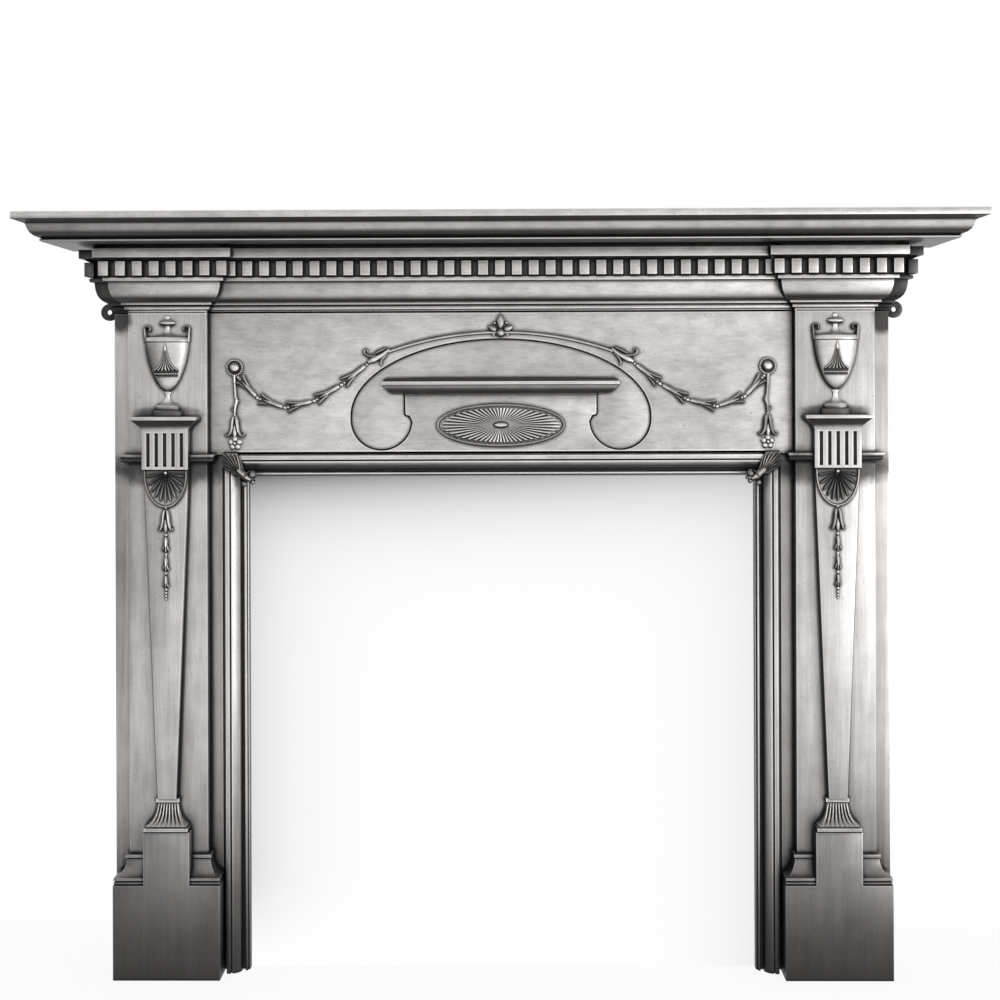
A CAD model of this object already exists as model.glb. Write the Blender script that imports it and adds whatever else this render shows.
import math
from bisect import bisect_left
from itertools import accumulate, chain

import bpy
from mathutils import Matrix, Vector


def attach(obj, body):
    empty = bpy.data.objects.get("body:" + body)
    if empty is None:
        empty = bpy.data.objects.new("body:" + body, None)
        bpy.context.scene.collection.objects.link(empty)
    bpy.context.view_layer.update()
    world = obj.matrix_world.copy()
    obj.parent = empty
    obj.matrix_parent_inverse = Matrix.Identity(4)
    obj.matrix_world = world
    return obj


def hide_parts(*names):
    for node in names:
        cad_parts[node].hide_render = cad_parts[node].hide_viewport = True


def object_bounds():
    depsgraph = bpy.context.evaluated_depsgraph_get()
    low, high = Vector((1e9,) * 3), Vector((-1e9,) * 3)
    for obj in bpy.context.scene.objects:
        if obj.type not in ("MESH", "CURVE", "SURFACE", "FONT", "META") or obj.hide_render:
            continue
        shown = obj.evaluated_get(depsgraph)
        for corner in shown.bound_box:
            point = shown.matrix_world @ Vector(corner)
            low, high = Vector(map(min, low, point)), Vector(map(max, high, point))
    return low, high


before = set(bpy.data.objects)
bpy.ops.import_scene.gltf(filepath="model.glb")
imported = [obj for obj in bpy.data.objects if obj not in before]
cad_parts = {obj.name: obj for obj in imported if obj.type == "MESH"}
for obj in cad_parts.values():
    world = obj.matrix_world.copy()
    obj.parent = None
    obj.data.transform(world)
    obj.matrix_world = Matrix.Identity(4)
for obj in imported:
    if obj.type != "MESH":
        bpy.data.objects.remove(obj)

cad_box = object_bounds()


# ---- camera, light and floor

# The camera stands a little right of the middle and looks level at the frieze; the picture is
# shifted down to take in the plinths. White surrounds the piece, and a soft lamp at the right
# front lights the right side more than the left.
lens_mm = 56.92
sensor_mm = 36
shift_down = 0.1129
camera_place = (0.0312, -2.8108, 1.0595)
level, roll, turn_left = 90, 0.2, 0.647
bpy.ops.object.camera_add(
    location=camera_place,
    rotation=(math.radians(level), math.radians(roll), math.radians(turn_left)),
)
camera = bpy.context.object
camera.data.lens = lens_mm
camera.data.sensor_width = sensor_mm
camera.data.shift_y = -shift_down
bpy.context.scene.camera = camera
bpy.context.scene.view_settings.view_transform = "Standard"


lamp_place = Vector((3.0, -2.4, 0.55))
lamp_aim = Vector((0.3, 0, 0.7))
bpy.ops.object.light_add(
    type="AREA", location=lamp_place,
    rotation=(lamp_aim - lamp_place).to_track_quat("-Z", "Y").to_euler(),
)
lamp = bpy.context.object
lamp.name = "key_lamp"
lamp.data.size = 1.8
lamp.data.energy = 46


class Shade:
    """One output of a shader node; arithmetic on it adds Math nodes."""

    def __init__(self, tree, socket=None):
        self.tree, self.socket = tree, socket

    def node(self, kind, settings, sockets, output=0):
        made = self.tree.nodes.new("ShaderNode" + kind)
        for name, value in settings.items():
            setattr(made, name, value)
        for name, value in sockets.items():
            if isinstance(value, Shade):
                self.tree.links.new(value.socket, made.inputs[name])
            else:
                made.inputs[name].default_value = value
        return Shade(self.tree, made.outputs[output]) if made.outputs else None

    def maths(self, operation, first, second):
        return self.node("Math", {"operation": operation}, {0: first, 1: second})

    def __add__(self, other):
        return self.maths("ADD", self, other)

    def __sub__(self, other):
        return self.maths("SUBTRACT", self, other)

    def __rsub__(self, other):
        return self.maths("SUBTRACT", other, self)

    def __mul__(self, other):
        return self.maths("MULTIPLY", self, other)

    __radd__ = __add__
    __rmul__ = __mul__

    def falls_by_half(self):
        """1 at nought, and half as much for each further one."""
        return self.maths("POWER", 0.5, self)

    def ramp(self, start, end, low=0.0, high=1.0):
        """low up to start, high from end on, and a smooth slope between them."""
        return self.node("MapRange", {"interpolation_type": "SMOOTHSTEP"}, {
            "Value": self, "From Min": start, "From Max": end, "To Min": low, "To Max": high,
        })


def seen_or_mirrored(tree):
    """1 for what the camera sees, straight or in a gloss, and 0 for light that falls on things."""
    path = tree.nodes.new("ShaderNodeLightPath")
    rays = [
        Shade(tree, path.outputs[f"Is {kind} Ray"])
        for kind in ("Camera", "Glossy", "Transmission")
    ]
    either = rays[0] + rays[1] + rays[2]
    return either.node("Clamp", {}, {0: either})


world = bpy.data.worlds.new("white_studio")
bpy.context.scene.world = world
world.use_nodes = True
sky = world.node_tree.nodes["Background"]
soft_light = 0.45
strength = soft_light + seen_or_mirrored(world.node_tree) * (1 - soft_light)
world.node_tree.links.new(strength.socket, sky.inputs["Strength"])
sky.inputs["Color"].default_value = (1, 1, 1, 1)


def axes(place):
    """The x, y and z of a place, each as a value."""
    split = place.tree.nodes.new("ShaderNodeSeparateXYZ")
    place.tree.links.new(place.socket, split.inputs[0])
    return [Shade(place.tree, socket) for socket in split.outputs]


def bare_material(name):
    """A material with no nodes yet, and a shade to start them from."""
    material = bpy.data.materials.new(name)
    material.use_nodes = True
    material.node_tree.nodes.clear()
    return material, Shade(material.node_tree)


def white_card(name, glow, shadow_share):
    """A pale matt surface that shows as white as glow says, apart from the share of the light and
    shadow on it that shadow_share lets show."""
    material, start = bare_material(name)
    place = axes(start.node("TexCoord", {}, {}, "Object"))
    matt = start.node("BsdfDiffuse", {}, {"Color": (0.8, 0.8, 0.8, 1)})
    white = start.node("Emission", {}, {"Color": (1, 1, 1, 1), "Strength": glow(*place)})
    both = start.node("MixShader", {}, {
        0: seen_or_mirrored(start.tree) * (1 - shadow_share(*place)), 1: matt, 2: white,
    })
    start.node("OutputMaterial", {}, {"Surface": both})
    return material


def stage_plane(name, corner, first_side, second_side):
    """A plane that two of its sides span from a corner."""
    bpy.ops.object.select_all(action="DESELECT")
    bpy.ops.mesh.primitive_plane_add(size=1)
    plane = bpy.context.object
    plane.name = name
    for vertex in plane.data.vertices:
        vertex.co = (
            Vector(corner) + Vector(first_side) * (vertex.co.x + 0.5)
            + Vector(second_side) * (vertex.co.y + 0.5)
        )
    return plane


# The floor is plain and pale, and keeps a soft shadow round the feet. A card set in the opening
# takes the shadow of the rail and the legs, and a dark flag off the picture gives the metal
# something to mirror at the left.
floor_glow = 1.125
shadow_kept = 0.2
floor = stage_plane("floor", (-15, -9, -0.0005), (30, 0, 0), (0, 30, 0))
floor.data.materials.append(white_card(
    "floor_white", lambda x, y, z: floor_glow,
    lambda x, y, z: shadow_kept * y.ramp(0.2, 0.9, 1, 0) * y.ramp(-1.2, -0.4),
))
card_half = 0.466
card_top = 0.904
rail_foot = 0.898
card = stage_plane(
    "opening_card", (-card_half, 0.084, 0), (2 * card_half, 0, 0), (0, 0, card_top),
)


def opening_shadow(x, y, z):
    """What the shadow of the rail and the legs leaves of the card's white. Each is deepest beside
    its iron, and halves so many times in a metre."""
    under_rail = 1 - (0.57 - 0.46 * x) * ((rail_foot - z) * 24).falls_by_half()
    by_left_leg = 1 - 0.27 * ((x + card_half) * 18).falls_by_half() * z.ramp(-0.02, 0.2)
    by_right_leg = 1 - 0.15 * ((card_half - x) * 16).falls_by_half()
    return under_rail * by_left_leg * by_right_leg


card.data.materials.append(white_card("card_white", opening_shadow, lambda x, y, z: 0.0))
black = bpy.data.materials.new("flag_black")
black.use_nodes = True
cloth = black.node_tree.nodes["Principled BSDF"]
cloth.inputs["Base Color"].default_value = (0.01, 0.01, 0.01, 1)
cloth.inputs["Roughness"].default_value = 1.0
flag = stage_plane("left_flag", (-2.0, 0.6, 0), (0, -3.4, 0), (0, 0, 1.3))
flag.data.materials.append(black)
flag.visible_camera = flag.visible_diffuse = flag.visible_transmission = False
flag.visible_shadow = False


# ---- the iron

# Every casting is grey iron, burnished bright with a brush along its length. The brush missed the
# quirks and undersides, which stay near black, and the patina deepens towards the floor.
def burnished_iron(name, grain, quirk_mm, sheltered, polish=1.0):
    """grain is the axis that the brush ran along. It missed all that is within quirk_mm of an inner
    corner, and left a share of sheltered on the faces that others stand round. polish says how
    bright the open faces came out."""
    material, start = bare_material(name)
    place = start.node("TexCoord", {}, {}, "Object")

    def noise(stretch, scale, detail=2.0):
        spread = start.node("Mapping", {}, {"Vector": place, "Scale": stretch})
        return start.node("TexNoise", {}, {
            "Vector": spread, "Scale": scale, "Detail": detail, "Roughness": 0.55,
        })

    brushing = noise({"z": (1, 1, 0.03), "x": (0.15, 1, 1)}[grain], 300)
    streaks = noise({"z": (1, 1, 0.12), "x": (0.5, 1, 1)}[grain], 55, 3.0)
    mottling = noise((1, 1, 1), 26, 4.0)
    clouds = noise((1, 1, 1), 4.5, 2.0)
    pits = noise((1, 1, 1), 330, 1.0).ramp(0.70, 0.78)

    x, y, z = axes(place)
    sideways, backward, upward = axes(start.node("NewGeometry", {}, {}, "Normal"))
    reached = (upward * 0.8 - backward + sideways * 0.3).ramp(0.1, 0.75, 0.06, 1.0)

    def openness(samples, distance, inside=False):
        return start.node("AmbientOcclusion", {"samples": samples, "inside": inside},
                          {"Distance": distance}, "AO")

    quirk = openness(5, quirk_mm / 1000).ramp(0.68, 1.0)
    shelter = openness(3, 0.04).ramp(0.35, 0.95, sheltered, 1.0)
    arris = openness(2, 0.003, True).ramp(0.55, 0.95, 1.0, 0.0)
    foot = z.ramp(0.02, 0.5, 0.085, 1.0)

    # Dark patina that no brush took off lies on the strip under the ear, round the collar and at
    # the urn's foot, on the faces behind the block. Each patch has its place, half its width and
    # height in metres, and the share of the brightness that it leaves.
    stain = 1.0
    for across, height, half_width, half_height, share in (
        (0.692, 1.185, 0.026, 0.03, 0.12), (0.60, 0.915, 0.13, 0.035, 0.15),
        (0.60, 1.013, 0.062, 0.014, 0.2),
    ):
        aside = (x.maths("ABSOLUTE", x, 0) - across) * (1 / half_width)
        above = (z - height) * (1 / half_height)
        edge = aside * aside + above * above + 1.6 * (mottling - 0.5)
        stain = edge.ramp(0.2, 1.5, share, 1.0) * stain
    stain = 1 - (1 - stain) * y.ramp(0.012, 0.019)

    tone = (
        0.66 + 0.26 * (brushing - 0.5) + 0.44 * (streaks - 0.5) + 0.26 * (mottling - 0.5)
        + 0.34 * (clouds - 0.5)
    )
    worn = (tone + 0.75 * arris) * (1 - 0.6 * pits) * polish
    bright = worn * quirk * shelter * reached * foot * stain
    black_patina = (0.012, 0.011, 0.010, 1)
    bare_metal = (0.96, 0.93, 0.905, 1)
    colour = start.node("Mix", {"data_type": "RGBA"}, {
        0: bright, 6: black_patina, 7: bare_metal,
    }, 2)
    height_map = brushing * 0.5 + mottling * 0.6 - pits
    bump = start.node("Bump", {}, {"Strength": 0.18, "Distance": 0.0006, "Height": height_map})
    surface = start.node("BsdfPrincipled", {}, {
        "Base Color": colour,
        "Metallic": quirk * 0.4 + 0.35,
        "Roughness": 0.6 - 0.18 * quirk + 0.14 * (streaks - 0.5),
        "Normal": bump,
    })
    start.node("OutputMaterial", {}, {"Surface": surface})
    return material


upright_iron = burnished_iron("jamb_iron", "z", 6.5, 0.5)
level_iron = burnished_iron("frieze_iron", "x", 6.5, 0.7)
relief_iron = burnished_iron("relief_iron", "x", 3.5, 0.6, 1.1)
bright_iron = burnished_iron("bright_iron", "x", 2.4, 0.9, 1.3)
shaded_iron = burnished_iron("shaded_iron", "z", 4, 0.5, 0.4)
unbrushed_iron = burnished_iron("unbrushed_iron", "z", 6.5, 0.4, 0.1)


# ---- mantel shelf

# The shelf is one open-backed casting: a flat top, a square fascia and an ovolo under it that
# returns to the wall at both ends. It lies loose on the entablature and is bolted from below.
wall_y = cad_box[1].y


def at(x, depth, z):
    """A point in metres from millimetres: x along the wall, depth forward from it, height z."""
    return Vector((x / 1000, wall_y - depth / 1000, z / 1000))


def loft(name, rings):
    """A closed solid with a skin through rings of points, filled at its first and last ring."""
    bpy.ops.object.select_all(action="DESELECT")
    bpy.ops.mesh.primitive_grid_add(x_subdivisions=len(rings[0]), y_subdivisions=len(rings) - 1)
    piece = bpy.context.object
    piece.name = piece.data.name = name
    places = chain.from_iterable([*ring, ring[0]] for ring in rings)
    for vertex, place in zip(piece.data.vertices, places):
        vertex.co = at(*place)
    bpy.ops.object.mode_set(mode="EDIT")
    bpy.ops.mesh.select_all(action="SELECT")
    bpy.ops.mesh.remove_doubles(threshold=1e-6)
    bpy.ops.mesh.fill_holes(sides=0)
    bpy.ops.mesh.select_all(action="SELECT")
    bpy.ops.mesh.normals_make_consistent(inside=False)
    bpy.ops.object.mode_set(mode="OBJECT")
    return piece


def moulding(name, plan, profile):
    """A moulding of points (projection, z) round a plan of corners (x, depth, sideways, forward),
    where the last two say how far the corner moves for each unit of projection."""
    return loft(name, [
        [(x + sideways * out, depth + forward * out, z) for x, depth, sideways, forward in plan]
        for out, z in profile
    ])


def facing_block(name, outline, back, front):
    """A plate with an outline of points (x, z), from one depth to another."""
    return loft(name, [[(x, depth, z) for x, z in outline] for depth in (back, front)])


def box(name, x0, x1, back, front, bottom, top):
    """A plain block between two places across, two depths and two heights."""
    return facing_block(name, [(x0, bottom), (x1, bottom), (x1, top), (x0, top)], back, front)


def centred_plan(centre, half_width, back, front):
    """The plan of a moulding round a block's front and both sides."""
    return [
        (centre - half_width, back, -1, 0), (centre - half_width, front, -1, 1),
        (centre + half_width, front, 1, 1), (centre + half_width, back, 1, 0),
    ]


def pick(*pieces):
    """Selects these pieces alone; the first becomes the active one."""
    bpy.ops.object.select_all(action="DESELECT")
    for piece in pieces:
        piece.select_set(True)
    bpy.context.view_layer.objects.active = pieces[0]


def cut_away(piece, *tools):
    """The piece without the room that the tools fill, which are used up."""
    for tool in tools:
        cutter = piece.modifiers.new("cut", "BOOLEAN")
        cutter.operation, cutter.solver, cutter.object = "DIFFERENCE", "EXACT", tool
        pick(piece)
        bpy.ops.object.modifier_apply(modifier=cutter.name)
        bpy.data.objects.remove(tool)
    return piece


def soften(piece, arris, angle=38):
    """Rounds the sharp arrises to a width in millimetres and smooths the curved stretches."""
    pick(piece)
    if arris:
        bevel = piece.modifiers.new("arris", "BEVEL")
        bevel.width, bevel.segments = arris / 1000, 2
        bevel.limit_method, bevel.angle_limit = "ANGLE", math.radians(angle)
        bpy.ops.object.modifier_apply(modifier=bevel.name)
    bpy.ops.object.shade_smooth_by_angle(angle=math.radians(angle))
    return piece


def joined(name, pieces):
    """All the pieces as one, under a new name."""
    pick(*pieces)
    bpy.ops.object.join()
    pieces[0].name = pieces[0].data.name = name
    return pieces[0]


def dress(piece, node, material):
    """Gives the piece its finish, and says which casting it belongs to."""
    piece.data.materials.clear()
    piece.data.materials.append(material)
    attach(piece, "root")
    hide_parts(node)


shelf_half_width = 835
shelf_overhang = 43
shelf_front = 245 - shelf_overhang
shelf_profile = [
    (0, 1314.6), (3.5, 1314.8), (4.5, 1316.8), (3.5, 1318.8), (1, 1319.2), (5, 1321),
    (12, 1324), (17, 1328.5), (20.5, 1334.5), (22.5, 1341), (24, 1344.2), (38, 1349.4),
    (42, 1350), (43, 1351), (43, 1361.4), (42, 1362.7),
]
shelf_hollow = [(-8, 1322), (2, 1326), (12, 1336), (14, 1346), (32, 1354), (32, 1355.5)]
half = shelf_half_width - shelf_overhang
shelf = cut_away(
    moulding("mantel_shelf_top", centred_plan(0, half, 0, shelf_front), shelf_profile),
    moulding("shelf_hollow", centred_plan(0, half, -2, shelf_front), shelf_hollow),
)
dress(soften(shelf, 0.7), "mantel_shelf", level_iron)


# ---- jambs: strips and pilaster

# Each jamb is one casting, eight millimetres thick and open at the back. Its outer strip and the
# pilaster run from the floor to the entablature; the inner strip and the moulded leg of the
# architrave stop at the mitre under the frieze. The right jamb is the left one mirrored.
opening_half_width = 460
opening_height = 898
jamb_outer = 703
pilaster_outer = 672
pilaster_inner = 529.5
shaft_x = -(pilaster_outer + pilaster_inner) / 2
pilaster_half = (pilaster_outer - pilaster_inner) / 2
strip_depth = 62
pilaster_depth = 88
shaft_depth = 105
plinth_depth = 114
wall = 8
frieze_bottom = 939
casting_top = 1198.4
seam = 0.3


def upright(name, outline, bottom, top):
    """A post with a plan of points (distance left of the middle, depth)."""
    return loft(name, [[(-x, depth, z) for x, depth in outline] for z in (bottom, top)])


def other_hand(piece):
    """The same piece on the right, mirrored, with its own mesh."""
    pick(piece)
    bpy.ops.object.duplicate()
    copy = bpy.context.object
    copy.name = copy.data.name = piece.name.replace("left", "right")
    bpy.ops.object.mode_set(mode="EDIT")
    bpy.ops.mesh.select_all(action="SELECT")
    bpy.ops.transform.resize(value=(-1, 1, 1), center_override=(0, 0, 0))
    bpy.ops.mesh.normals_make_consistent(inside=False)
    bpy.ops.object.mode_set(mode="OBJECT")
    return copy


def dress_pair(piece, material=upright_iron, nodes=("left_jamb", "right_jamb")):
    dress(other_hand(piece), nodes[1], material)
    dress(piece, nodes[0], material)


plinth_half = 96
plinth_top = 170
narrow_half = 41.5
narrow_top = 264.7


def plinth_outline(inset):
    """The upturned T of the plinth's face, drawn in all round."""
    wide, narrow = plinth_half - inset, narrow_half - inset
    corners = [
        (wide, inset), (wide, plinth_top - inset), (narrow, plinth_top - inset),
        (narrow, narrow_top - inset),
    ]
    return [(shaft_x + x, z) for x, z in corners] + [
        (shaft_x - x, z) for x, z in reversed(corners)
    ]


strip_back = strip_depth - wall
pilaster_back = pilaster_depth - wall
pilaster = upright("left_pilaster", [
    (pilaster_inner, strip_back), (pilaster_inner, pilaster_depth),
    (pilaster_outer, pilaster_depth), (pilaster_outer, strip_depth), (jamb_outer, strip_depth),
    (jamb_outer, 0), (jamb_outer - wall, 0), (jamb_outer - wall, strip_back),
    (pilaster_outer - wall, strip_back), (pilaster_outer - wall, pilaster_back),
    (pilaster_inner + wall, pilaster_back), (pilaster_inner + wall, strip_back),
], 0, casting_top)
cut_away(pilaster, facing_block("plinth_room", plinth_outline(wall), -1, 100))
dress_pair(soften(pilaster, 1.6))

architrave_face = [
    (0, 39), (0, 57), (1.5, 58), (2.4, 56.5), (3.2, 61), (4, 62.8), (7, 62.8), (8, 61),
    (8.4, 55.5), (13.2, 55.5), (13.2, 64), (14.6, 68), (17, 72), (20.5, 75), (24.5, 77.4),
    (28.5, 79), (28.5, 75), (31.5, 75), (31.5, 80), (39, 80),
]
architrave_back = [(31, 69), (20, 66), (16, 48), (8, 46), (8, 39)]
groove_outer = 507
leg_groove = 56
leg = upright("left_architrave_leg", [
    *((opening_half_width + t, depth) for t, depth in architrave_face),
    (opening_half_width + 39, leg_groove), (groove_outer, leg_groove),
    (groove_outer, strip_depth), (pilaster_inner, strip_depth), (pilaster_inner, strip_back),
    (groove_outer + wall, strip_back), (groove_outer + wall, leg_groove - wall),
    (groove_outer - 2 * wall, leg_groove - wall),
    *((opening_half_width + t, depth) for t, depth in architrave_back),
], 0, 1)
for vertex in leg.data.vertices:
    if vertex.co.z > 0:
        mitre = opening_height - opening_half_width - vertex.co.x * 1000
        vertex.co.z = (min(mitre, frieze_bottom) - seam) / 1000
dress_pair(soften(leg, 0.6))

flange = box("left_jamb_flange", -pilaster_inner - wall, -pilaster_inner, 0, strip_back,
             frieze_bottom, casting_top)
dress_pair(soften(flange, 0.5))


# ---- jambs: plinth and bases

# A flush face in the shape of an upturned T covers the foot, with the pilaster's base moulding on
# its shoulders and a reeded foot for the shaft on top.
plinth = cut_away(
    facing_block("left_plinth", plinth_outline(0), 20, plinth_depth),
    facing_block("plinth_hollow", plinth_outline(wall), -1, plinth_depth - wall),
)
dress_pair(soften(plinth, 1.0))

pilaster_base_profile = [
    (-1, 169), (20, 170.4), (23.4, 171.6), (24, 173.4), (23.4, 175), (20.5, 175.8), (20.5, 177),
    (24, 178), (24, 182.6), (20, 183.6), (16.5, 185.5), (12.5, 189), (9.5, 193.5), (7, 199),
    (5.2, 205), (4.2, 212), (2.4, 212.6), (2.4, 213.6), (6.2, 214.4), (6.2, 219.6), (-1, 220.4),
]
pilaster_base = cut_away(
    moulding(
        "left_pilaster_base",
        centred_plan(shaft_x, pilaster_half, strip_depth - 4, pilaster_depth),
        pilaster_base_profile,
    ),
    box("block_room", shaft_x - narrow_half + 1, shaft_x + narrow_half - 1,
        strip_depth - 10, plinth_depth + 10, plinth_top - 10, narrow_top),
)
dress_pair(soften(pilaster_base, 0.7))

shaft_foot_half = 17
reed_count = 8
foot_profile = [
    (-1, 263.7, 0), (17.5, 264.9, 0), (18.5, 266.2, 0), (22.2, 267, 0), (22.6, 269.5, 0),
    (22.2, 272.4, 0), (19, 273.2, 0), (18.4, 274.4, 0), (19.6, 275.6, 0.4), (17, 278, 2.2),
    (12.5, 282, 3.0), (8.6, 287.5, 3.4), (5.8, 294, 3.4), (3.8, 301, 3.2), (2.4, 308, 2.4),
    (1.4, 313, 1.2), (0.6, 314, 0), (3.6, 315, 0), (3.8, 321.4, 0), (0, 323.5, 0),
]
rings = []
for out, z, reed in foot_profile:
    side, front = shaft_foot_half + out, plinth_depth - 20 + out
    steps = reed_count * 6
    face = [
        (
            shaft_x + side * (2 * i / steps - 1),
            front - reed * (1 - abs(math.sin(math.pi * reed_count * i / steps))),
            z,
        )
        for i in range(steps + 1)
    ]
    rings.append([
        (shaft_x - side, pilaster_depth - 4, z), *face,
        (shaft_x + side, pilaster_depth - 4, z),
    ])
dress_pair(soften(loft("left_shaft_foot", rings), 0, 42), relief_iron)


# ---- jambs: shaft, block and collar

# A shaft stands forward of the pilaster and narrows towards its foot. A block with five upright
# flutes and a moulded cap crowns it, and a collar runs round the pilaster behind the block.
shaft_head_half = 40.3
shaft_foot = 322
shaft_top = 914
shaft = facing_block("left_shaft", [
    (shaft_x - shaft_foot_half, shaft_foot), (shaft_x + shaft_foot_half, shaft_foot),
    (shaft_x + shaft_head_half, shaft_top), (shaft_x - shaft_head_half, shaft_top),
], pilaster_depth - 2, shaft_depth)
dress_pair(soften(shaft, 2.6))

flute_pitch = 15
flute_width = 6
block = cut_away(
    box("left_fluted_block", shaft_x - narrow_half, shaft_x + narrow_half,
        pilaster_depth - 2, plinth_depth, shaft_top, 984),
    *(
        box("flute", shaft_x + i * flute_pitch - flute_width / 2,
            shaft_x + i * flute_pitch + flute_width / 2,
            plinth_depth - 6, plinth_depth + 1, 919, 979)
        for i in range(-2, 3)
    ),
)
dress_pair(soften(block, 0.7))

cap_profile = [
    (0, 982), (1.5, 986), (3.2, 989.8), (6, 993), (9, 996.2), (12, 998.5), (16, 1002),
    (18.2, 1002.4), (18.2, 1008), (0, 1008.6),
]
cap = moulding(
    "left_block_cap", centred_plan(shaft_x, narrow_half, pilaster_depth - 2, plinth_depth),
    cap_profile,
)
dress_pair(soften(cap, 0.6))

collar_profile = [
    (-1, 925), (3.5, 925), (6, 925.4), (9, 926.4), (11, 928), (12.5, 931), (11, 933.6),
    (13, 934.4), (13, 936.4), (-1, 936.6),
]
collar_plan = centred_plan(shaft_x, pilaster_half, strip_depth - 2, pilaster_depth)
collar = moulding("left_collar", collar_plan, collar_profile)
dress_pair(soften(collar, 0.6), shaded_iron)
fillet = moulding("left_collar_fillet", collar_plan, [
    (-1, 936.2), (14, 936.4), (14, 939.6), (11, 940), (-1, 940.6),
])
dress_pair(soften(fillet, 0.4))


# ---- jambs: urn

# A lidded urn in half relief stands on the cap: a shield-shaped body on a turned foot, a handle
# hooked in at each side, and on its face a fluted bell with a spire over a band of beads.
def arc(x, z, radius_x, radius_z, start, end, steps):
    """Points round part of an ellipse, at even steps of angle in degrees."""
    angles = (math.radians(start + (end - start) * i / steps) for i in range(steps + 1))
    return [(x + radius_x * math.cos(a), z + radius_z * math.sin(a)) for a in angles]


def oval(x, z, radius_x, radius_z):
    """Points all round an ellipse."""
    return arc(x, z, radius_x, radius_z, 0, 345, 23)


def half_turned(name, x, ground, squash, profile, sides=20):
    """A turned form of points (radius, z) that stands half out of a face, flattened to it."""
    return loft(name, [
        [(x - radius, ground - 1.5, z)]
        + [(px, ground + pd, z) for px, pd in arc(x, 0, radius, radius * squash, 180, 0, sides)]
        + [(x + radius, ground - 1.5, z)]
        for radius, z in profile
    ])


rib_section = [(-1, 0), (-0.94, 0.35), (-0.62, 0.8), (0, 1), (0.62, 0.8), (0.94, 0.35), (1, 0)]


def relief(path, widths, rises, ground):
    """A rounded rib that follows a path of (x, z) points on a face. widths are half widths; each
    of the lists may be shorter than the path and is then spread along it."""
    def spread(values, i):
        place = i / (len(path) - 1) * (len(values) - 1)
        low = min(int(place), len(values) - 2)
        return values[low] + (values[low + 1] - values[low]) * (place - low)

    rings = []
    for i, (x, z) in enumerate(path):
        before, after = path[max(i - 1, 0)], path[min(i + 1, len(path) - 1)]
        along = Vector((after[0] - before[0], after[1] - before[1])).normalized()
        width, rise = spread(widths, i), spread(rises, i)
        lie = ground(x, z) if callable(ground) else ground
        rings.append([
            (x - along.y * width * across, lie + (rise * up if up else -1.2),
             z + along.x * width * across)
            for across, up in rib_section
        ])
    return loft("rib", rings)


def curve(points, steps=4):
    """A smooth line through points."""
    line = []
    for i in range(len(points) - 1):
        p0, p1 = points[max(i - 1, 0)], points[i]
        p2, p3 = points[i + 1], points[min(i + 2, len(points) - 1)]
        for k in range(steps):
            t = k / steps
            line.append(tuple(
                0.5 * (2 * b + (c - a) * t + (2 * a - 5 * b + 4 * c - d) * t * t
                       + (3 * b - a - 3 * c + d) * t ** 3)
                for a, b, c, d in zip(p0, p1, p2, p3)
            ))
    return [*line, tuple(points[-1])]


def bead(x, depth, z, radius):
    """A small ball, sunk in its ground by as much as its centre lies low."""
    bpy.ops.object.select_all(action="DESELECT")
    bpy.ops.mesh.primitive_uv_sphere_add(
        segments=12, ring_count=7, radius=radius / 1000, location=at(x, depth, z),
    )
    bpy.ops.object.transform_apply(location=True, rotation=True, scale=True)
    return bpy.context.object


def carved(name, parts):
    """One relief of many parts, each smooth over its own round."""
    return soften(joined(name, parts), 0, 50)


urn_squash = 0.5
urn_body = [
    (4.8, 1054), (8, 1056), (12, 1058.5), (18, 1066), (24, 1076), (29.5, 1090), (34, 1104),
    (37, 1117), (39, 1130), (39.6, 1136), (39.9, 1141.6),
]
urn_profile = [
    (27.2, 1006), (27.2, 1009), (27.2, 1017), (25.8, 1019.2), (21.7, 1020.4), (21.7, 1027),
    (20, 1028.6), (14, 1030.6), (9, 1034), (6, 1037.4), (4.9, 1042), (4.7, 1048), (6.6, 1050),
    (6.6, 1052.6), *urn_body, (38.4, 1142), (38.4, 1143.2), (40.6, 1143.6), (40.6, 1150.4),
    (39.5, 1151.2), (30, 1151.6), (16, 1153), (9, 1157), (5.4, 1162), (4.4, 1167), (5, 1170.5),
    (9, 1173), (14.6, 1175), (15.4, 1177.4), (14.6, 1179.6), (8, 1182), (5, 1184), (4.6, 1187),
    (4.8, 1189), (3, 1191), (0.4, 1191.7),
]


def on_urn(x, z):
    """Depth of the urn's body at a point on its face."""
    below = max((p for p in urn_body if p[1] <= z), key=lambda p: p[1])
    above = min((p for p in urn_body if p[1] >= z), key=lambda p: p[1])
    span = above[1] - below[1]
    radius = below[0] + (above[0] - below[0]) * ((z - below[1]) / span if span else 0)
    reach = max(radius ** 2 - (x - shaft_x) ** 2, 0)
    return pilaster_depth + urn_squash * math.sqrt(reach)


urn = [half_turned("urn", shaft_x, pilaster_depth, urn_squash, urn_profile)]
for side in (-1, 1):
    hook = [(38.4, 1143), (39, 1150), (39.8, 1158), (40.4, 1166), (40.2, 1169.6), (36.5, 1170.2),
            (31.6, 1170), (30.6, 1167), (30.8, 1163.4), (33, 1162.6)]
    urn.append(relief(
        [(shaft_x + side * x, z) for x, z in hook],
        [2.5, 2.4, 2.2, 2.0, 1.8, 1.6, 1.5], [7, 6], pilaster_depth,
    ))
for i in range(7):
    lean = (i - 3) / 3
    flute = [(shaft_x + lean * x, z) for x, z in
             ((2.4, 1125.5), (4.4, 1116), (8, 1105), (13.2, 1097), (20.5, 1091.5))]
    urn.append(relief(flute, [0.6, 1.8], [2.0, 3.4], on_urn))
urn.append(relief(
    [(shaft_x, z) for z in (1126, 1129, 1133, 1137, 1140.8)],
    [1.6, 2.8, 2.2, 1.0, 0.5], [2.4, 3, 2.4, 1.5, 1], on_urn,
))
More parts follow.
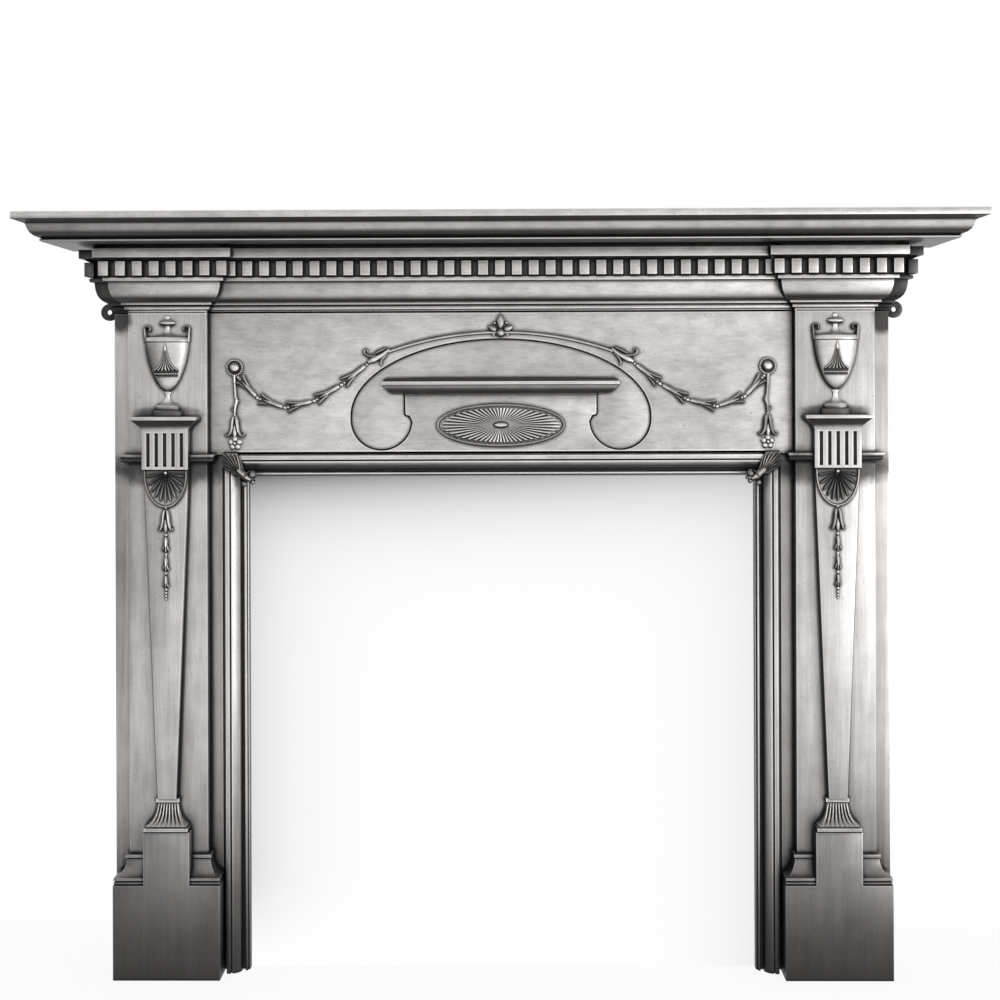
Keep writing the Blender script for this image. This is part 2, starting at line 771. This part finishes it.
for z, reach in ((1090, 22.5), (1080.6, 20.6)):
    line = [(shaft_x + reach * (i / 8 - 1), z) for i in range(17)]
    urn.append(relief(line, [0.8, 0.8], [2, 2], on_urn))
for i in range(13):
    x = shaft_x + 19.8 * (i - 6) / 6
    urn.append(bead(x, on_urn(x, 1085.3) + 0.9, 1085.3, 1.5))
dress_pair(carved("left_urn", urn), relief_iron)

# The ground between the bell's flutes stayed dark, where no brush reached it.
shade_rings = []
for z, half in ((1127, 1.6), (1116, 5.4), (1105, 9.4), (1097, 15), (1091.5, 22.6), (1081, 21)):
    places = [shaft_x + half * (i / 6 - 1) for i in range(13)]
    shade_rings.append(
        [(x, on_urn(x, z) + 0.45, z) for x in places]
        + [(x, on_urn(x, z) - 1, z) for x in reversed(places)]
    )
dress_pair(soften(loft("left_urn_shade", shade_rings), 0, 50), unbrushed_iron)


# ---- jambs: fan and husks

# Under the block a half oval fan of ribs spreads from a boss, and a chain of bells, husks and
# beads hangs from its tip down the shaft.
fan_top = shaft_top + 1
fan_half = 38.5
fan_centre_z = 906


def fan_edge(inset):
    """The half oval of the fan, straight at the top, drawn in all round."""
    return [
        (shaft_x - fan_half + inset, fan_top),
        *arc(shaft_x, fan_centre_z, fan_half - inset, 60 - inset, -180, 0, 28),
        (shaft_x + fan_half - inset, fan_top),
    ]


fan_plate = cut_away(
    facing_block("left_fan", fan_edge(0), shaft_depth - 2, shaft_depth + 5),
    facing_block("fan_sinking", [(x, z + 0.01) for x, z in fan_edge(2.2)],
                 shaft_depth + 0.5, shaft_depth + 8),
)
dress_pair(soften(fan_plate, 0.6), shaded_iron)
fan = []
for i in range(11):
    angle = math.radians(-172 + 164 * i / 10)
    reach_x, reach_z = (fan_half - 5) * math.cos(angle), 53 * math.sin(angle)
    path = [(shaft_x + reach_x * t, fan_centre_z + 2 + reach_z * t)
            for t in (0.14, 0.4, 0.62, 0.82, 0.94, 1)]
    fan.append(relief(path, [0.6, 1.0, 1.4, 1.9, 1.7, 0.7], [3, 5, 6.4, 6.2, 5, 2],
                      shaft_depth + 0.3))
fan.append(bead(shaft_x, shaft_depth + 3, 908, 3.6))
dress_pair(soften(joined("left_fan_ribs", fan), 0, 45), relief_iron)


def bell(x, top, bottom, neck, mouth, rise, ground):
    """A hanging bell flower: two outer petals that part over a dark slit and curl out at their
    tips, with a third petal between them at the mouth."""
    length = top - bottom
    parts = [
        relief([(x, bottom + length * t) for t in (0.66, 0.5, 0.3, 0.12, -0.04)],
               [0.6, *(neck * t for t in (0.62, 0.85, 0.7)), 0.8],
               [rise * t for t in (0.4, 0.7, 0.85, 0.8, 0.3)], ground),
    ]
    for side in (-1, 1):
        petal = curve([
            (x + side * neck * 0.3, top), (x + side * neck * 0.62, top - 0.2 * length),
            (x + side * neck * 0.82, top - 0.5 * length),
            (x + side * neck * 1.15, bottom + 0.26 * length),
            (x + side * mouth * 0.72, bottom + 0.08 * length),
            (x + side * mouth, bottom + 0.17 * length),
        ], 3)
        parts.append(relief(
            petal, [neck * t for t in (0.4, 0.55, 0.55, 0.5, 0.34, 0.22)],
            [rise * t for t in (0.6, 1, 1, 0.9, 0.8, 0.5)], ground,
        ))
    return parts


def husk(x, top, bottom, half, rise, ground):
    """A slender husk, round at its top, with a lip flared out at each side of its mouth."""
    length = top - bottom
    parts = [relief(
        [(x, top - length * t) for t in (0, 0.12, 0.35, 0.62, 0.85, 1)],
        [half * t for t in (0.4, 0.85, 1, 0.8, 0.75, 0.3)],
        [rise * t for t in (0.5, 0.9, 1, 0.9, 0.8, 0.4)], ground,
    )]
    for side in (-1, 1):
        lip = [(x + side * half * across, top - length * t)
               for across, t in ((0.45, 0.55), (0.9, 0.74), (1.35, 0.88), (1.8, 0.95))]
        parts.append(relief(lip, [half * t for t in (0.3, 0.42, 0.36, 0.15)],
                            [rise * t for t in (0.7, 0.9, 0.7, 0.4)], ground))
    return parts


chain_of_husks = bell(shaft_x, 841, 802, 6, 13.5, 8, shaft_depth)
for top, bottom, half in ((793, 766, 3.8), (757, 732, 3.5), (724, 702, 3.1)):
    chain_of_husks += husk(shaft_x, top, bottom, half, 7, shaft_depth)
for z, radius in ((845, 3.2), (796.5, 3.2), (762, 3), (758.5, 2.4), (728, 3), (699, 2.8),
                  (692.5, 2.6), (686.8, 2.3), (682, 1.9)):
    chain_of_husks.append(bead(shaft_x, shaft_depth + 0.8, z, radius))
dress_pair(carved("left_husk_chain", chain_of_husks), relief_iron)


# ---- jambs: ear

# A round ear with a hole stands out beside the neck of each jamb, by which it is screwed to the
# wall. It is rough from the mould.
ear_x = -719.5
ear_z = 1199.3
ear = cut_away(
    facing_block("left_ear", [
        *arc(ear_x, ear_z, 15.6, 15.6, 55, 305, 24), (-702, 1177), (-702, 1221),
    ], 26, 34),
    facing_block("ear_hole", oval(ear_x, ear_z, 4.5, 4.5), 20, 40),
)
dress_pair(soften(ear, 1.2), unbrushed_iron)


# ---- entablature

# The cornice of fillet, ovolo, dentils and fascia is cast in three lengths: one breaks forward over
# each pilaster with the jamb, and the long one between them belongs to the frieze.
cornice_profile = [
    (0, 1194.4), (0, 1200.4), (4.5, 1201.2), (5.5, 1204.5), (4.5, 1208.2), (2, 1209.7),
    (10, 1209.7), (10, 1213.9), (12, 1214.4), (18, 1218.5), (22.5, 1223.5), (25.5, 1230),
    (27.5, 1238), (28.5, 1246), (28.5, 1250.4), (36, 1251), (36, 1257), (30, 1258), (30, 1285.9),
    (36, 1286.5), (41, 1289), (44, 1291.9), (51, 1291.9), (51, 1307.8), (30, 1308.4),
    (30, 1314.3),
]
cornice_hollow = [
    (-8, 1192.4), (-8, 1212), (8, 1221), (20, 1252), (20, 1289), (42, 1297), (42, 1299.6),
    (20, 1300.6), (20, 1306.3),
]
dentil_out = 43
dentil_bed = 29
dentil_width = 17
dentil_pitch = 30.1
dentil_bottom = 1260.3
dentil_top = 1285.5


def outer_plan(back, inner, inner_moves):
    """The plan of a moulding over the outer strip and round the jamb's outer side."""
    return [
        (-jamb_outer, back, -1, 0), (-jamb_outer, strip_depth, -1, 1),
        (inner, strip_depth, inner_moves, 1), (inner, back, inner_moves, 0),
    ]


inside = -(pilaster_outer - 30)
jamb_cornice = cut_away(
    moulding("left_jamb_cornice", centred_plan(shaft_x, pilaster_half, 0, pilaster_depth),
             cornice_profile),
    moulding("cornice_hollow", centred_plan(shaft_x, pilaster_half, -1, pilaster_depth),
             cornice_hollow),
    moulding("cornice_hollow", outer_plan(-1, inside, 0), cornice_hollow),
)
dress_pair(soften(jamb_cornice, 0.5), level_iron)

# The length over the outer strip, round the corner to the wall, was left as it came from the
# mould.
corner_cornice = cut_away(
    moulding("left_corner_cornice", outer_plan(0, -pilaster_outer, -1), cornice_profile),
    moulding("corner_hollow", outer_plan(-1, inside, 0), cornice_hollow),
)
dress_pair(soften(corner_cornice, 0.5), unbrushed_iron)


def dentil(x, width, back, front):
    """One small block of the row, centred on x."""
    return box("dentil", x - width / 2, x + width / 2, back, front, dentil_bottom, dentil_top)


def dentil_ground(name, x0, x1, ground):
    """The dark face that shows between the dentils."""
    return box(name, x0, x1, ground + 24, ground + dentil_bed + 1.5,
               dentil_bottom - 1.8, dentil_top)


# The first dentil stands on the breakfront's inner corner and reaches back along its side.
first_x = -(pilaster_inner - dentil_out) - dentil_width / 2
jamb_dentils = [
    dentil(first_x - i * dentil_pitch, dentil_width,
           60 if i == 0 else pilaster_depth + dentil_bed, pilaster_depth + dentil_out)
    for i in range(8)
]
dress_pair(soften(joined("left_jamb_dentils", jamb_dentils), 0.3), level_iron)
dress_pair(dentil_ground("left_dentil_bed", -pilaster_outer - dentil_bed,
                         -pilaster_inner + dentil_bed, pilaster_depth), unbrushed_iron)
outer_edge = -(jamb_outer + dentil_out)
side_block = 14
corner_dentils = [
    dentil(outer_edge + dentil_width / 2, dentil_width, 84, strip_depth + dentil_out),
    dentil(outer_edge + side_block / 2, side_block, 0, strip_depth + dentil_out - 1),
]
dress_pair(soften(joined("left_corner_dentils", corner_dentils), 0.3), unbrushed_iron)


# ---- frieze: panel and cornice

# The frieze is one casting between the jambs. Its plain field is sunk under the arch in the shape
# of a half oval with a round lobe at each side, hooked in to the middle panel. The right end
# doesn't quite meet its jamb.
frieze_depth = 72
field_depth = 68
right_gap = 2.4
frieze_left = -(pilaster_inner - seam)
frieze_right = pilaster_inner - right_gap
panel_back = 62
panel = loft("frieze_panel", [
    [(x, depth, z) for x, depth in (
        (frieze_left, 0), (frieze_left, frieze_depth), (frieze_right, frieze_depth),
        (frieze_right, 0), (frieze_right - wall, 0), (frieze_right - wall, panel_back),
        (frieze_left + wall, panel_back), (frieze_left + wall, 0),
    )]
    for z in (frieze_bottom, casting_top)
])
arch_half = 272.5
arch_rise = 140.5
arch_spring = 1007.5
middle_half = 173
lobe = 56.5


def field_outline(inset):
    """The edge of the sunk field, drawn in all round."""
    right = [
        *arc(0, arch_spring, arch_half - inset, arch_rise - inset, 90, 0, 40),
        *arc(arch_half - lobe, arch_spring - 6, lobe - inset, lobe - inset, 0, -176, 28),
        (middle_half - 8 + inset, arch_spring + 1 - inset),
        (middle_half - 2.5 + inset, arch_spring + 2 - inset),
        (middle_half + inset, arch_spring + 4.5 - inset),
        (middle_half + inset, arch_spring + 40 + inset),
    ]
    return right[1:] + [(-x, z) for x, z in reversed(right)]


groove_depth = field_depth - 3
groove_width = 2.6
cut_away(panel, facing_block("field", field_outline(0), groove_depth, frieze_depth + 1))
dress(soften(panel, 0.6), "frieze", level_iron)
sunk_field = facing_block(
    "frieze_field", field_outline(groove_width), groove_depth - 0.4, field_depth,
)
dress(soften(sunk_field, 0.3), "frieze", level_iron)

frieze_cornice = moulding("frieze_cornice", [
    (frieze_left, 0, 0, 0), (frieze_left, frieze_depth, 0, 1),
    (-frieze_left, frieze_depth, 0, 1), (-frieze_left, 0, 0, 0),
], cornice_profile)
return_profile = [p for p in cornice_profile if p[1] < 1258] + [
    (dentil_out, dentil_bottom - 2), (dentil_out, dentil_top + 2),
] + [p for p in cornice_profile if p[1] > 1289] + [(30, 1316)]


def jamb_return(side, gap):
    """The room that the jamb's length of the cornice takes at one end, with a gap round it."""
    end, front = side * (pilaster_inner - gap), shelf_front + shelf_overhang
    return moulding("jamb_return", [
        (side * jamb_outer, -2, 0, 0), (side * jamb_outer, front, 0, 0),
        (end, front, -side, 0), (end, -2, -side, 0),
    ], return_profile)


hollow_end = pilaster_inner - seam - 2 * wall
cut_away(
    frieze_cornice, jamb_return(-1, seam), jamb_return(1, right_gap),
    moulding("frieze_hollow", [
        (-hollow_end, -2, 1, 0), (-hollow_end, frieze_depth, 1, 1),
        (hollow_end, frieze_depth, -1, 1), (hollow_end, -2, -1, 0),
    ], cornice_hollow),
)
dress(soften(frieze_cornice, 0.6), "frieze", level_iron)

whole_each_side = 15
end_start = (whole_each_side + 1) * dentil_pitch - dentil_width / 2
end_width = pilaster_inner - dentil_out - 1 - end_start
places = [(i * dentil_pitch, dentil_width) for i in range(-whole_each_side, whole_each_side + 1)]
places += [(side * (end_start + end_width / 2), end_width) for side in (-1, 1)]
frieze_dentils = [
    dentil(x, width, frieze_depth + dentil_bed, frieze_depth + dentil_out) for x, width in places
]
dress(soften(joined("frieze_dentils", frieze_dentils), 0.3), "frieze", level_iron)
bed_half = pilaster_inner - dentil_bed - 4
dress(dentil_ground("frieze_dentil_bed", -bed_half, bed_half, frieze_depth),
      "frieze", unbrushed_iron)


# ---- frieze: architrave

# The moulding round the opening runs along the foot of the frieze and is mitred to the legs.
rail_outline = [
    *architrave_face, (39, frieze_depth), (46, frieze_depth), (46, 58),
    (31, 58), *architrave_back,
]
rail = loft("frieze_rail", [
    [(side * (opening_half_width + t), depth, opening_height + t) for t, depth in rail_outline]
    for side in (-1, 1)
])
dress(soften(rail, 0.6), "frieze", level_iron)


# ---- frieze: arch and little shelf

# A thin stem arches over the sunk field, from a palmette at its crown down to a curling leaf at
# each end. A small moulded shelf tops the middle panel, over an oval patera of radial reeds.
little_shelf_plan = [
    (-middle_half, field_depth - 1, -1, 0), (-middle_half, frieze_depth, -1, 0.75),
    (middle_half, frieze_depth, 1, 0.75), (middle_half, field_depth - 1, 1, 0),
]
little_shelf = moulding("frieze_little_shelf", little_shelf_plan, [
    (0, 1046.5), (1.5, 1047), (1.5, 1048.4), (0, 1049), (24, 1049.8), (29, 1053), (33, 1056.8),
    (36, 1060.4), (38, 1063.9), (40.5, 1064.3), (40.5, 1070.1), (34, 1070.6),
])
dress(soften(little_shelf, 0.4), "frieze", level_iron)
little_shelf_top = moulding("frieze_little_shelf_top", little_shelf_plan, [
    (34, 1070.6), (37, 1071), (37, 1073.6), (34, 1075),
])
dress(soften(little_shelf_top, 0.4), "frieze", unbrushed_iron)


def reed_angles(radius_x, radius_z, count):
    """Angles round an ellipse at which reeds from its middle come out equally wide."""
    turns = [2 * math.pi * i / (40 * count) for i in range(40 * count)]
    reaches = (1 / math.hypot(math.cos(t) / radius_x, math.sin(t) / radius_z) for t in turns)
    widths = list(accumulate(reaches))
    chosen = (turns[bisect_left(widths, widths[-1] * i / count)] for i in range(count))
    return [math.atan2(radius_x * math.sin(t), radius_z * math.cos(t)) for t in chosen]


patera_z = arch_spring - 16.5
patera_x, patera_height = 116.5, 38.8
rim_width = 6.6
reeds = 50
reed_steps = 6
edge = [(0, 71), (0, 74.6), (1, 75.8), (2.4, 76), (3.8, 75.2), (4.4, 72), (6, 71.6)]
dish = [(0.985, 71, 0), (0.985, 72.1, 0), (0.955, 72.3, 3), (0.75, 72.8, 2.6), (0.5, 73.4, 1.8),
        (0.3, 74, 1.0), (0.16, 74.3, 0.4), (0.1, 74.3, 0)]
rim_rings, dish_rings = [], []
angles = reed_angles(patera_x - 8, patera_height - 8, reeds * reed_steps)
for draw, depth in edge:
    rim_rings.append([
        ((patera_x - draw) * math.cos(a), depth, patera_z + (patera_height - draw) * math.sin(a))
        for a in angles
    ])
for scale, depth, rise in dish:
    dish_rings.append([
        (
            (patera_x - rim_width) * scale * math.cos(a),
            depth + rise * (1 - abs(math.cos(math.pi * i / reed_steps)) ** 3),
            patera_z + (patera_height - rim_width) * scale * math.sin(a),
        )
        for i, a in enumerate(angles)
    ])
dress(soften(loft("frieze_patera_rim", rim_rings), 0, 40), "frieze", shaded_iron)
dress(soften(loft("frieze_patera_reeds", dish_rings), 0, 40), "frieze", bright_iron)
for name, half_width, half_height, rises, material in (
    ("frieze_patera_quirk", 14.6, 6.2, ((0, 71), (0, 75.6)), unbrushed_iron),
    ("frieze_patera_boss", 12.2, 4.3, ((0, 71), (0, 77), (0.8, 78.6), (2.2, 79.6), (3.6, 80)),
     bright_iron),
):
    boss = loft(name, [
        [(x, depth, z) for x, z in oval(0, patera_z, half_width - draw, half_height - draw)]
        for draw, depth in rises
    ])
    dress(soften(boss, 0, 40), "frieze", material)

stem_radius = 610
stem_z = arch_spring + 151 - stem_radius
stem_reach = 19.4
stem = relief(
    arc(0, stem_z, stem_radius, stem_radius, 90 + stem_reach, 90 - stem_reach, 60),
    [3, 3], [4.6, 4.6], frieze_depth,
)
stem.name = stem.data.name = "frieze_arch_stem"
dress(soften(stem, 0, 60), "frieze", relief_iron)


def leaf(root, tip, width, rise, ground):
    """A pointed leaf from its root to its tip, with a keel."""
    path = [tuple(root.lerp(tip, t)) for t in (0, 0.15, 0.35, 0.55, 0.75, 0.9, 1)]
    widths = [*(width * share for share in (0.3, 0.8, 1, 0.95, 0.7, 0.3)), 0.3]
    rises = [*(rise * share for share in (0.6, 1, 1, 0.9, 0.7, 0.4)), 0.6]
    return relief(path, widths, rises, ground)


crown_z = arch_spring + 150
palmette = [bead(0, frieze_depth + 2, crown_z, 8)]
for lean, reach, width in ((-60, 27, 6.4), (0, 36.5, 7.4), (60, 27, 6.4)):
    angle = math.radians(90 + lean)
    step = Vector((math.cos(angle), math.sin(angle)))
    crown = Vector((0, crown_z))
    palmette.append(leaf(crown + step * 8, crown + step * reach, width, 7, frieze_depth))
for lean, reach in ((-104, 13), (-30, 21), (30, 21), (104, 13)):
    angle = math.radians(90 + lean)
    palmette.append(bead(reach * math.cos(angle), frieze_depth + 1.5,
                         crown_z + reach * math.sin(angle), 2.6))
dress(carved("frieze_palmette", palmette), "frieze", relief_iron)


# ---- frieze: swags and drops

# From each rosette a swag of husks and beads is strung to the arch's leaf, and a ribbon, a bell
# and a five-petalled flower hang below it.
swag_nodes = [(-475.6, 1078.6), (-440.2, 1041), (-390.3, 1023.3), (-337.2, 1035.8),
              (-287.4, 1065), (-240.4, 1102.3)]
swag = []
for start, end in zip(swag_nodes, swag_nodes[1:]):
    a, b = Vector(start), Vector(end)
    along = (b - a).normalized()
    aside = Vector((-along.y, along.x))
    length = (b - a).length

    def spot(forward, off):
        return tuple(a + along * (forward * length) + aside * off)

    swag.append(relief([spot(t, 0) for t in (0.2, 0.3, 0.45, 0.65, 0.82, 0.9)],
                       [1.2, 3.4, 4.6, 4.3, 4.0, 3.2], [4, 6.5, 7, 6.5, 6, 4.5], frieze_depth))
    for side in (-1, 1):
        lip = curve([spot(0.5, side * 2.4), spot(0.34, side * 4.2), spot(0.2, side * 6.2),
                     spot(0.1, side * 8.6), spot(0.04, side * 9.6)], 3)
        swag.append(relief(lip, [1.6, 2.4, 2.4, 2.0, 0.8], [4, 6.5, 7, 6, 3], frieze_depth))
    for forward, radius in ((0.0, 3.0), (0.09, 2.4), (0.96, 2.6)):
        x, z = spot(forward, 0)
        swag.append(bead(x, frieze_depth + 1.4, z, radius))

# The curling leaf at the foot of the arch's stem takes up the swag's upper end.
curl = [(-222, 1116), (-232, 1115.5), (-241, 1117), (-246.5, 1121.5), (-245.5, 1126.5),
        (-241, 1126.5), (-240.5, 1123.5)]
swag += [
    relief(curve([(-240, 1104.5), (-231, 1109), (-222, 1113.5), (-213, 1119), (-201, 1128.5)], 4),
           [2.5, 6.4, 5.4, 4.4, 3], [4, 7.5, 7, 6, 4.6], frieze_depth),
    relief(curve(curl, 3), [2.6, 2.4, 2.2, 1.8, 1.2], [6, 5.5, 5, 4], frieze_depth),
    relief(curve([(-205, 1121), (-213, 1112), (-217, 1104), (-214, 1098)], 3),
           [2, 2.8, 2.2, 0.6], [5, 6, 5, 2.5], frieze_depth),
    relief(curve([(-206, 1131), (-219, 1124.5), (-230, 1119)], 3),
           [1.2, 2.4, 1], [4, 6, 3], frieze_depth),
]
on_frieze = ("frieze", "frieze")
dress_pair(carved("left_swag", swag), bright_iron, on_frieze)

rosette_x, rosette_z = -482.2, 1096.3
drop = [
    loft("dome", [
        [(x, frieze_depth + depth, z) for x, z in oval(rosette_x, rosette_z, radius, radius)]
        for radius, depth in ((8.6, 0), (8.6, 4), (8, 6.4), (6.4, 8.4), (4, 9.7), (1, 10.2))
    ]),
]
for x, z in oval(rosette_x, rosette_z, 13.9, 13.9):
    drop.append(bead(x, frieze_depth + 1.4, z, 1.85))
ribbon = [(rosette_x + x, z) for x, z in ((-0.5, 1083), (0, 1068), (1, 1054), (1.6, 1044),
                                          (3.4, 1036), (1.2, 1027), (0.4, 1019), (0, 1013))]
drop.append(relief(curve(ribbon, 2), [3.0, 2.8, 2.4, 2.4, 3.4, 2.8, 2.2, 2], [5, 5], frieze_depth))
drop += [
    relief([(rosette_x + 3, 1034), (rosette_x + 7, 1036.5), (rosette_x + 8.6, 1038)],
           [2, 1.6, 0.6], [4, 4, 2], frieze_depth),
    relief([(rosette_x - 1, 1018), (rosette_x - 5.5, 1021), (rosette_x - 7.4, 1024)],
           [2, 1.8, 0.6], [4, 4, 2], frieze_depth),
    bead(rosette_x, frieze_depth + 1, 1010.5, 3.2),
]
drop += bell(rosette_x, 1008, 969, 6, 18, 8, frieze_depth)
flower_z = 959.4
petal_reach = 7.8
for x, z in arc(rosette_x, flower_z, petal_reach, petal_reach, 90, 378, 4):
    drop.append(bead(x, frieze_depth - 1.6, z, 6.2))
drop.append(bead(rosette_x, frieze_depth + 3, flower_z, 3))
dress_pair(carved("left_drop", drop), bright_iron, on_frieze)


# ---- frieze: clasps

# A veined leaf, drawn in to a bud and berries, covers the mitre at each corner of the opening.
clasp_ground = 79
clasp_neck = (-471, 906)
leaf_edge = [(-503, 917), (-505, 926), (-505, 935), (-503, 941.5), (-495, 942), (-486, 941.5),
             (-478, 941)]
leaf_web = [
    facing_block(
        "left_clasp_leaf",
        [*leaf_edge, (-470, 928), (-465, 910), (-470, 901), (-482, 904), (-494, 910)],
        clasp_ground - 6, clasp_ground + 1.6,
    ),
    bead(-464, clasp_ground + 1, 886.5, 5.8), bead(-449, clasp_ground + 1, 889.5, 4.8),
    bead(-443.8, clasp_ground + 1, 895.5, 3.8), bead(-449.5, clasp_ground + 3, 903.5, 7.4),
]
dress_pair(carved("left_clasp_leaf", leaf_web), shaded_iron, on_frieze)
clasp = []
for tip in leaf_edge:
    middle = (0.55 * clasp_neck[0] + 0.45 * tip[0] + 1.5,
              0.55 * clasp_neck[1] + 0.45 * tip[1] - 2)
    clasp.append(relief(curve([clasp_neck, middle, tip], 4), [1.6, 1.6, 1.5, 0.8],
                        [7, 6, 5, 3.5], clasp_ground + 1))
clasp += [
    relief(curve([(-476, 911), (-467, 904), (-459, 897), (-452, 893)], 4),
           [4, 6.4, 6.6, 4.5], [9, 11, 11, 8], clasp_ground),
    relief(curve([(-465, 896), (-460, 903), (-454, 909)], 3), [1.4, 1.8, 1.4], [13, 13.6, 12],
           clasp_ground),
]
dress_pair(carved("left_clasp", clasp), bright_iron, on_frieze)


# ---- fastenings

# Square-headed bolts, round washers and square nuts hold the castings together from behind. They
# are dull forged iron, and keep the shapes that the frame gives them.
dull_iron, start = bare_material("fastening_iron")
place = start.node("TexCoord", {}, {}, "Object")
scale_marks = start.node("TexNoise", {}, {"Vector": place, "Scale": 380.0, "Detail": 3.0})
fire_scale = (0.11, 0.105, 0.10, 1)
forged_grey = (0.21, 0.205, 0.20, 1)
rusty = start.node("Mix", {"data_type": "RGBA"}, {
    0: scale_marks, 6: fire_scale, 7: forged_grey,
}, 2)
dull = start.node("BsdfPrincipled", {}, {
    "Base Color": rusty, "Metallic": 0.7, "Roughness": 0.5 + 0.2 * scale_marks,
})
start.node("OutputMaterial", {}, {"Surface": dull})
for name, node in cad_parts.items():
    if name.endswith(("_bolt", "_washer", "_nut")):
        node.data.materials.clear()
        node.data.materials.append(dull_iron)
